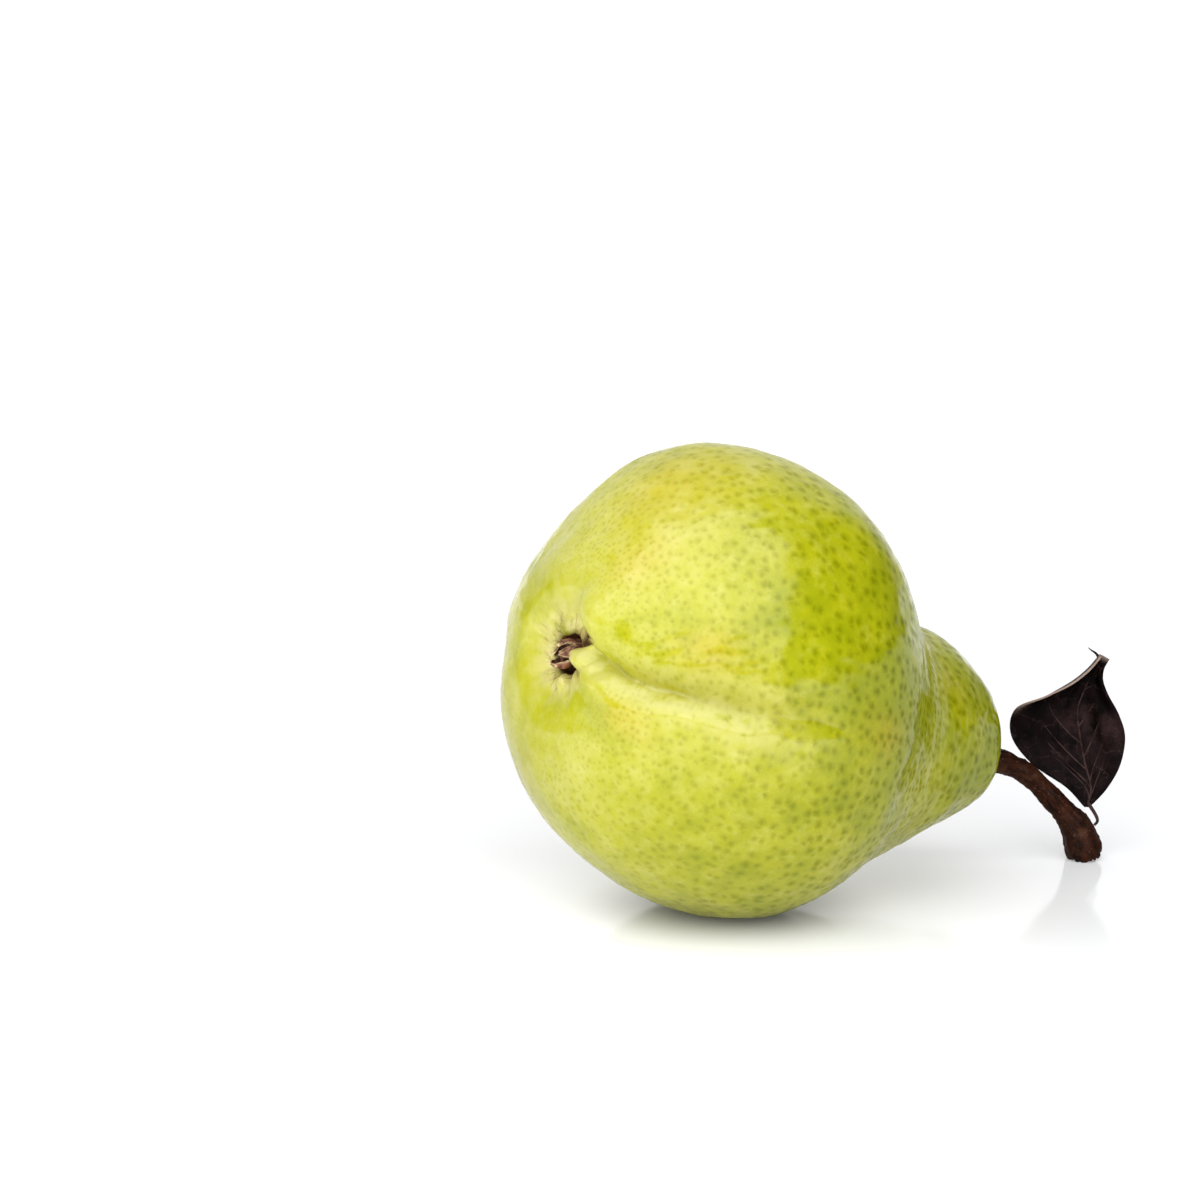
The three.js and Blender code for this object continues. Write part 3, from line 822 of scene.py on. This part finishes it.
# what the skin's finish reads at each point, besides the places of its pores
def skinFacts(station, angle, base):
    # where shade is painted along the crease, wider on the cheek above it
    fromLine = turnFrom(fruit["furrowAngle"] + furrowBow(station), angle)
    crease = np.where(fromLine > 0, hump(fromLine, 0, 1.8), hump(fromLine, 0, 10)) * hump(station, 5.4, 1.7)
    inEye = 1 - smoothStep(station, 1.7, 2.3)
    inHole = smoothStep(station, 16.2, 17)
    # painted shadow: the dry brown is also put into the wedge between the sepals and the cheek, where shade
    # falls
    wedgeShadow = hump(turnFrom(fruit["wedgeAngle"], angle), 0, 17) * smoothStep(station, 1.5, 2)
    wedgeShadow = wedgeShadow * (1 - smoothStep(station, 2.95, 3.3))
    # where the shelf's painted highlight goes
    onShelf = hump(turnFrom(98, angle), 0, 5) * smoothStep(station, 2.8, 3.8)
    return {
        "ripeAndFloorLight": spotsAt(fruit["ripeSpotsAndFloorLight"], station, angle),
        "russet": spotsAt(fruit["russetSpots"], station, angle),
        "eyeDistance": np.linalg.norm(base - np.array([-29.5, 0, 0]), axis=-1),
        "bold": smoothStep(station, 5.5, 9) * (0.72 + 0.28 * np.cos(np.radians(turnFrom(85, angle)))),
        "inside": np.maximum(np.maximum(inEye, inHole), wedgeShadow),
        "shelf": onShelf * (1 - smoothStep(station, 6.4, 8)),
        "waist": hump(station, 10.6, 1.0) * (0.25 + 0.75 * hump(turnFrom(78, angle), 0, 50)),
        "crease": crease,
        "neck": smoothStep(station, 10.8, 12),
    }


# places for the pores, in flat maps of the front and the back that fade into each other
def poreMaps(station, angle):
    outline = splineAt(fruit["outline"], station[:, 0] / station[-1, 0])
    steps = np.linalg.norm(np.diff(outline, axis=0), axis=1) / np.maximum(outline[1:, 1], 3)
    reach = np.concatenate([[0], np.cumsum(steps)])[:, None] * np.ones(station.shape[1])
    onNeck = smoothStep(station, 10.4, 11.4)
    maps = {}
    for part, radius, share in (("pores", 34, 1 - onNeck), ("poresNeck", 20, onNeck)):
        for side, middle, gone, whole in (("Front", 85, -125, -95), ("Back", 265, -85, -55)):
            across = turnFrom(middle, angle)
            weight = share * smoothStep(-np.abs(across), gone, whole)
            maps[part + side] = np.stack([np.radians(across) * radius, reach * radius, weight], -1)
    return maps


def makeFruit():
    rows, columns = fruit["rows"], fruit["columns"]
    station = np.linspace(0, len(fruit["outline"]) - 1, rows + 1)[:, None] * np.ones(columns)
    share = np.arange(columns) / columns
    pull = fruit["columnPull"] * np.sin(2 * math.pi * (share - fruit["furrowAngle"] / 360))
    angle = np.ones((rows + 1, 1)) * (360 * share - pull)
    turn = np.radians(angle)
    points, base = skinPoints(station, angle)
    facts = skinFacts(station, angle, base)
    flat = {label: polesAndRings(values[..., None])[:, 0] for label, values in facts.items()}
    maps = {"web": np.stack([station, np.cos(turn), np.sin(turn)], -1), **poreMaps(station, angle)}
    flat.update({label: polesAndRings(values) for label, values in maps.items()})
    piece = meshPiece("pearFruit", polesAndRings(points), ringFaces(rows - 1, columns), skinFinish(), flat)
    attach(piece, "root")
    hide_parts("fruit")


makeFruit()
print("fruit made")


# the dried calyx in the eye
calyx = {
    "seat": -27.2,
    "height": 0.9,
    "radius": 2.1,
    "button": [(0, 0), (0, 1.6), (-0.5, 1.9), (-1.1, 1.4), (-0.8, 0.7), (-0.9, 0)],
    "sepals": 5,
    "length": 4.3,
    "width": 2.7,
    "thickness": 0.2,
    "lean": 0.42,  # how much it sinks as it comes out
    "stamens": 13,
    "stamenRadius": 0.09,
    "antherRadius": 0.14,  # on top of that
    "seed": 11,
    "dark": (0.05, 0.014, 0.005),
    "brown": (0.24, 0.095, 0.045),
    "pale": (0.5, 0.33, 0.17),
    "rim": (0.62, 0.46, 0.24),
}
# short brown fibres that lie on the flesh round the eye; pairs are the least and the most
fibres = {
    "count": 110,
    "station": (1.9, 2.7),
    "length": (0.15, 0.6),
    "turn": (-12, 12),
    "lift": (0.0, 0.25),
    "radius": (0.02, 0.045),
    "seed": 5,
    "dark": (0.2, 0.09, 0.03),
    "pale": (0.5, 0.34, 0.13),
}


def calyxFinish():
    dried = Finish("driedCalyx", {"IOR": 1.4, "Specular IOR Level": 0.25})
    place = dried.place()
    tone = dried.noise(place, 1.1, 4, 0.65)
    colour = dried.blend(calyx["dark"], calyx["brown"], dried.ease(tone, 0.34, 0.64))
    pale = dried.ease(dried.noise(place, 2.6, 4, 0.7), 0.52, 0.72) * 0.6
    colour = dried.blend(colour, calyx["pale"], pale)
    colour = dried.blend(colour, calyx["rim"], dried.attribute("rim") * dried.ease(tone, 0.3, 0.6))
    height = dried.noise(place * (1, 3, 3), 2.2, 4, 0.7) * 0.12
    return dried.finish(colour, 0.62 + (tone - 0.5) * 0.3, height)


# turns points about the axis, lets them sink as they come out, and lays them in the eye
def seated(points, heading):
    x = points[..., 0]
    y = points[..., 1] * math.cos(heading) - points[..., 2] * math.sin(heading)
    z = points[..., 1] * math.sin(heading) + points[..., 2] * math.cos(heading)
    return laidDown(np.stack([x + calyx["seat"], y, z + calyx["height"] + calyx["lean"] * x], -1))


# the button that the sepals grow from
def buttonShape():
    rings, sides = 18, 36
    profile = splineAt(calyx["button"], np.linspace(0, 1, rings + 1))
    turn = np.linspace(0, 2 * math.pi, sides + 1)[:-1]
    around = np.stack([np.zeros(sides), -np.sin(turn), np.cos(turn)], -1)
    grid = profile[:, 0, None, None] * np.array([1.0, 0, 0]) + profile[:, 1, None, None] * around
    grid[1:-1] *= 1 + 0.09 * ripple(grid[1:-1], 1.2, 3)[..., None]
    button = polesAndRings(grid)
    return seated(button, 0), [face[::-1] for face in ringFaces(rings - 1, sides)], np.zeros(len(button))


# one sepal, curled, cupped and twisted in its own way
def sepalShape(sepal, draw):
    curl = draw.uniform(0.8, 1.3)
    length = calyx["length"] * draw.uniform(0.8, 1)
    cup = draw.uniform(0.5, 0.9)
    twist = draw.uniform(-0.5, 0.5)
    heading = 2 * math.pi * sepal / calyx["sepals"] + draw.uniform(-0.2, 0.2)

    def blade(across, along):
        side = (across - 0.5) * 2
        width = calyx["width"] / 2 * (1 - 0.75 * along ** 2) * (0.75 + 0.5 * np.sin(math.pi * along) ** 0.7)
        radius = calyx["radius"] - 0.6 + 0.9 * np.sin(math.pi * along * curl)
        cross = side * width * np.cos(cup * side * 1.2)
        inward = cup * width * side ** 2 * 0.8
        wavy = 0.12 * np.sin(9 * along + 4 * side) * along
        x = -0.5 - length * along ** 0.9 + 0.3 * np.sin(math.pi * along) * side * twist
        return np.stack([x, cross + twist * along, radius - inward + wavy], -1)

    points, faces, across, along = sheetShape(blade, 14, 30, calyx["thickness"])
    points = points + 0.05 * ripple(points, 0.9, sepal + 20)[:, None]
    rim = np.maximum(smoothStep(np.abs(across - 0.5), 0.36, 0.5), smoothStep(along, 0.88, 1))
    return seated(points, heading), faces, np.tile(rim.ravel(), 2)


# the stamens, each with its dried anther
def stamenLines(draw):
    lines = []
    for stamen in range(calyx["stamens"]):
        heading = 2 * math.pi * stamen / calyx["stamens"] + draw.uniform(-0.2, 0.2)
        reach, length = draw.uniform(0.2, 1.1), draw.uniform(1.6, 3)
        sway = draw.uniform(-0.4, 0.4)
        known = [(-0.5, 0, reach), (-1.2, sway, reach * 1.2)]
        known += [(-0.6 - length * 0.7, 0, reach), (-0.6 - length, sway, reach * 0.5)]
        line = seated(Route(known).line[::75], heading)
        share = np.linspace(0, 1, len(line))
        lines.append((line, calyx["stamenRadius"] + calyx["antherRadius"] * hump(share, 0.93, 0.06)))
    return lines


def makeCalyx():
    draw = np.random.default_rng(calyx["seed"])
    material = calyxFinish()
    shapes = [buttonShape()] + [sepalShape(sepal, draw) for sepal in range(calyx["sepals"])]
    points, faces, rim = joined(shapes)
    piece = meshPiece("driedCalyx", points, faces, material, {"rim": rim})
    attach(piece, "root")
    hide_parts("calyx")
    values = {"Sides": 8, "Thickness": 1.0, "Finish": material}
    stamens = threads.grow(linesObject("stamenLines", stamenLines(draw)), "driedStamens", values)
    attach(stamens, "root")


def fibreFinish():
    tan = Finish("tanFibre", {"IOR": 1.4, "Specular IOR Level": 0.2})
    tone = tan.noise(tan.place(), 0.8, 2)
    colour = tan.blend(fibres["dark"], fibres["pale"], tan.ease(tone, 0.4, 0.6))
    return tan.finish(colour, 0.6, tone, 0.02)


def makeFibres():
    draw = np.random.default_rng(fibres["seed"])
    share = np.linspace(0, 1, 8)
    lines = []
    for fibre in range(fibres["count"]):
        station = draw.uniform(*fibres["station"]) + draw.uniform(*fibres["length"]) * share
        angle = draw.uniform(0, 360) + draw.uniform(*fibres["turn"]) * share
        line = skinPoints(station, angle, draw.uniform(*fibres["lift"]) * share ** 2)[0]
        lines.append((line, draw.uniform(*fibres["radius"]) * (1 - 0.7 * share)))
    values = {"Sides": 5, "Thickness": 1.0, "Finish": fibreFinish()}
    made = threads.grow(linesObject("fibreLines", lines), "eyeFibres", values)
    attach(made, "root")


makeCalyx()
makeFibres()
print("calyx made")


# the stem starts in its hole, on the fruit's axis, and bends down to the floor
stem = {
    "base": 48.6,
    "mouth": 53.4,
    "route": [
        (57.1, -1.9, 17.4), (60.5, -3.1, 16.1), (63.1, -4.3, 14.3), (65.7, -5.8, 11.2),
        (68.2, -7.3, 8), (69.7, -8.2, 5.6), (70.5, -8.7, 3.3), (71.2, -9.1, 1.1),
    ],
    # distance along the stem and radius, up to its swollen broken end
    "outline": [
        (0, 0), (0, 1.6), (0.6, 1.9), (5, 2.1), (9, 2.15), (13, 2), (18, 1.75), (23, 1.8), (27, 2),
        (30, 2.4), (32.6, 2.95), (35, 3.1), (36.4, 2.7), (36, 1.6), (35.2, 0),
    ],
    "rows": 300,
    "columns": 64,
    "roughFrom": (8, 14),  # before this it is smooth, where it sits in the hole
    "grainRadius": 1.6,
    "barkGrain": 0.09,
    "tornFrom": (33.5, 35.5),
    "wartSpacing": 1.1,
    "smallestWart": 0.1,
    "largestWart": 0.26,
    "wartSeed": 4,
    "barkDark": (0.006, 0.0016, 0.0006),
    "barkBrown": (0.036, 0.009, 0.0025),
    "barkPatch": (0.07, 0.026, 0.011),
    "fleck": (0.2, 0.1, 0.075),
    "pithDark": (0.03, 0.012, 0.01),
    "pithPale": (0.32, 0.19, 0.16),
}


def barkFinish():
    bark = Finish("stemBark", {"IOR": 1.45, "Specular IOR Level": 0.06})
    place = bark.place()
    along = bark.attribute("run", "Vector")  # distance along the stem, and round it
    streak = bark.noise(along * (0.35, 3, 3), 1.0, 4, 0.6)
    patches = bark.noise(place, 0.32, 3, 0.6)
    colour = bark.blend(stem["barkDark"], stem["barkBrown"], bark.ease(streak, 0.3, 0.7))
    colour = bark.blend(colour, stem["barkPatch"], bark.ease(patches, 0.5, 0.72) * 0.6)
    flecks = bark.ease(bark.cells(place, 1.5), 0.24, 0.1) * bark.ease(bark.noise(place, 0.6), 0.48, 0.6)
    colour = bark.blend(colour, stem["fleck"], flecks * 0.5)
    ragged = bark.ease(bark.noise(place, 1.2, 4, 0.7), 0.42, 0.62)
    pith = bark.blend(stem["pithDark"], stem["pithPale"], ragged)
    colour = bark.blend(colour, pith, bark.attribute("torn"))
    height = streak * 0.12 + bark.noise(place, 2.5, 4, 0.7) * 0.08 + flecks * 0.05
    return bark.finish(colour, 0.5 + (patches - 0.5) * 0.3, height)


def onAxis(along):
    return laidDown(lolled(np.array([along, 0.0, 0.0])))


# the stem's skin while it is still straight: ridges, grain and the torn end
def straightStem(along, radius, angle):
    free = smoothStep(along, *stem["roughFrom"])
    ridges = 0.08 * np.sin(3 * angle + 0.25 * along) + 0.07 * np.sin(1.1 * along)
    shared = radius * (1 + free * ridges * np.minimum(radius, 1) / np.maximum(radius, 1))
    wide = stem["grainRadius"]
    straight = np.stack([along * 0.28, wide * np.cos(angle), wide * np.sin(angle)], -1)
    grain = 1 - 2 * np.abs(ripple(straight, 1.1, 31)) + 0.6 * ripple(straight * (4, 1, 1), 1.4, 32)
    shared = shared + stem["barkGrain"] * grain * free * np.minimum(radius / 1.5, 1)
    torn = smoothStep(along, *stem["tornFrom"]) * np.minimum(radius / 2.5, 1)
    ragged = torn * (0.35 * np.sin(2 * angle + 1) + 0.2 * np.sin(5 * angle))
    ragged += torn * 0.35 * ripple(straight * (1, 2, 2), 1, 33)
    return np.stack([along + ragged, shared * np.cos(angle), shared * np.sin(angle)], -1)


def makeStem():
    rows, columns = stem["rows"], stem["columns"]
    profile = splineAt(stem["outline"], np.linspace(0, 1, rows + 1))
    profile[[0, -1], 1] = 0
    along = profile[:, 0, None] * np.ones(columns)
    radius = profile[:, 1, None] * np.ones(columns)
    angle = np.ones((rows + 1, 1)) * np.linspace(0, 2 * math.pi, columns + 1)[:-1]
    route = Route([onAxis(stem["base"]), onAxis(stem["mouth"])] + stem["route"])
    points = route.bend(straightStem(along, radius, angle))
    points[..., 2] = np.maximum(points[..., 2], 0)
    order = (np.arange(rows + 1) / rows * (len(stem["outline"]) - 1))[:, None] * np.ones(columns)
    facts = {"torn": polesAndRings(smoothStep(order, 12.2, 12.8)[..., None])[:, 0]}
    facts["run"] = polesAndRings(np.stack([along, np.cos(angle), np.sin(angle)], -1))
    material = barkFinish()
    piece = meshPiece("woodyStem", polesAndRings(points), ringFaces(rows - 1, columns), material, facts)
    # warts of cork all over it
    values = {"Spacing": stem["wartSpacing"] * mm, "Seed": stem["wartSeed"], "Finish": material}
    values.update({"Smallest": stem["smallestWart"] * mm, "Largest": stem["largestWart"] * mm})
    warts = mounds.grow(newObject("wartHost", piece.data.copy()), "barkWarts", values)
    for corner in warts.data.vertices:
        corner.co.z = max(corner.co.z, 0)
    for made in (piece, warts):
        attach(made, "root")
    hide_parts("stem")


makeStem()
print("stem made")


# the withered leaf: its edges are across and up from its base, before it is turned and placed
leaf = {
    "place": (72.8, -7.5, 8.4),
    "turn": -44,
    "leftEdge": [
        (-0.4, 0), (-3.5, 3.3), (-9.4, 7.3), (-12.9, 12.1), (-12.5, 17),
        (-7.6, 19.6), (-3.5, 21.8), (-0.6, 24.2), (1.3, 26.6),
    ],
    "rightEdge": [
        (0.4, 0), (3.3, 3.3), (5.4, 7.3), (6.1, 12.1), (5, 16),
        (3.2, 19.4), (2.2, 22), (2.3, 24), (3.2, 25.6),
    ],
    "rib": 0.6,  # its place across the blade, as a share
    "cup": 2.4,
    "bow": 1.6,
    "buckle": 0.28,
    "thickness": 0.3,
    "columns": 96,
    "rows": 110,
    # threads, with their radius where they start and end
    "midribRadius": (0.28, 0.14),
    "veinRadius": (0.22, 0.1),
    "petioleRadius": (0.24, 0.32),
    "tipRadius": (0.3, 0.06),
    # side veins: where along the rib, and how far across and along the blade, as shares
    "veins": [
        (0.05, -0.5, 0.42), (0.12, -0.55, 0.45), (0.22, -0.55, 0.42), (0.34, -0.5, 0.36),
        (0.06, 0.34, 0.36), (0.16, 0.34, 0.36), (0.28, 0.34, 0.34), (0.42, 0.3, 0.28),
    ],
    "petiole": [(1.4, -1.2, -2.8), (1.9, -0.9, -2.1), (1.5, -0.4, -1.1), (0.1, 0, 0.9)],
    "tip": [(1.6, 0, 25.6), (1.0, -0.3, 26.6), (0.2, -0.5, 27.2), (-0.5, -0.3, 27.7)],
    "black": (0.0008, 0.0003, 0.0003),
    "umber": (0.0045, 0.0016, 0.0014),
    "paintedSheenBrown": (0.026, 0.012, 0.013),
    "webBrown": (0.04, 0.022, 0.022),
    "rimTan": (0.3, 0.22, 0.18),
    "veinDark": (0.012, 0.005, 0.004),
    "veinPale": (0.04, 0.02, 0.017),
}


def leafSpot(across, along):
    left = splineAt(leaf["leftEdge"], along)
    right = splineAt(leaf["rightEdge"], along)
    spot = left + (right - left) * across[..., None]
    fromRib = (across - leaf["rib"]) / leaf["rib"]
    middle = np.sin(math.pi * along)
    forward = leaf["cup"] * fromRib * fromRib * middle - leaf["bow"] * middle
    # dried skin: buckled between the veins, with its upper left rim rolled forward
    wrinkled = leaf["buckle"] * np.sin(14 * fromRib + 5 * along) * np.sin(9 * along + 3 * fromRib) * middle
    roll = smoothStep(along, 0.35, 0.6) * hump(across, 0, 0.1)
    x, z = spot[..., 0] + 0.5 * roll, spot[..., 1] - 0.3 * roll
    return np.stack([x, -forward + wrinkled - 1.1 * roll, z], -1)


def leafPlaced(points):
    turn = math.radians(leaf["turn"])
    x = points[..., 0] * math.cos(turn) - points[..., 1] * math.sin(turn)
    y = points[..., 0] * math.sin(turn) + points[..., 1] * math.cos(turn)
    return np.stack([x, y, points[..., 2]], -1) + np.array(leaf["place"])


def leafFinish():
    dried = Finish("driedLeaf", {"IOR": 1.4, "Specular IOR Level": 0.04})
    place = dried.place()
    tone = dried.noise(place, 0.35, 4, 0.6)
    colour = dried.blend(leaf["black"], leaf["umber"], dried.ease(tone, 0.35, 0.7))
    # painted sheen: a lighter purple-brown band across the middle of the blade, where light is reflected
    paintedSheen = dried.attribute("paintedSheen") * dried.ease(dried.noise(place, 0.3, 3, 0.6), 0.3, 0.65)
    colour = dried.blend(colour, leaf["paintedSheenBrown"], paintedSheen)
    bent = place + dried.wander(place, 0.5, 2.5)
    web = dried.ease(dried.cells(bent, 0.34, "DISTANCE_TO_EDGE"), 0.045, 0.0) * dried.ease(tone, 0.42, 0.6)
    colour = dried.blend(colour, leaf["webBrown"], web * 0.5)
    colour = dried.blend(colour, leaf["rimTan"], dried.attribute("rim"))
    height = dried.noise(place, 1.4, 4, 0.65) * 0.12 + web * 0.05
    return dried.finish(colour, 0.46 + (tone - 0.5) * 0.3, height)


def veinFinish():
    vein = Finish("leafVein", {"IOR": 1.4, "Specular IOR Level": 0.1})
    tone = vein.noise(vein.place(), 0.5, 3)
    colour = vein.blend(leaf["veinDark"], leaf["veinPale"], vein.ease(tone, 0.36, 0.6))
    return vein.finish(colour, 0.55, tone, 0.05)


# the veins, half sunk in the blade, the stalk and the thread at its tip
def leafThreads():
    share = np.linspace(0, 1, 40)
    first, last = leaf["midribRadius"]
    midrib = leafSpot(np.full(40, leaf["rib"]), 0.02 + 0.9 * share)
    lines = [(midrib, first - (first - last) * share)]
    first, last = leaf["veinRadius"]
    for start, side, reach in leaf["veins"]:
        vein = leafSpot(leaf["rib"] + side * share ** 0.8, start + reach * share)
        lines.append((vein, first - (first - last) * share))
    for label, step in (("petiole", 40), ("tip", 60)):
        line = Route(leaf[label]).line[::step]
        lines.append((line, np.linspace(*leaf[label + "Radius"], len(line))))
    return [(leafPlaced(line), radii) for line, radii in lines]


def makeLeaf():
    points, faces, across, along = sheetShape(leafSpot, leaf["columns"], leaf["rows"], leaf["thickness"])
    rim = hump(across, 0, 0.05) * smoothStep(along, 0.45, 0.6) + 0.6 * smoothStep(along, 0.93, 1)
    rim = np.concatenate([rim.ravel() * 0.9, rim.ravel()])
    # where the leaf's painted sheen goes
    paintedSheen = hump(along, 0.44, 0.09) * smoothStep(across, 0.25, 0.6) + 0.3 * hump(along, 0.22, 0.16)
    facts = {"rim": rim, "paintedSheen": np.tile(paintedSheen.ravel(), 2)}
    piece = meshPiece("driedLeaf", leafPlaced(points), faces, leafFinish(), facts)
    values = {"Sides": 8, "Thickness": 1.0, "Finish": veinFinish()}
    veins = threads.grow(linesObject("veinLines", leafThreads()), "leafVeins", values)
    for made in (piece, veins):
        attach(made, "root")
    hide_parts("leaf")


makeLeaf()
print("leaf made")
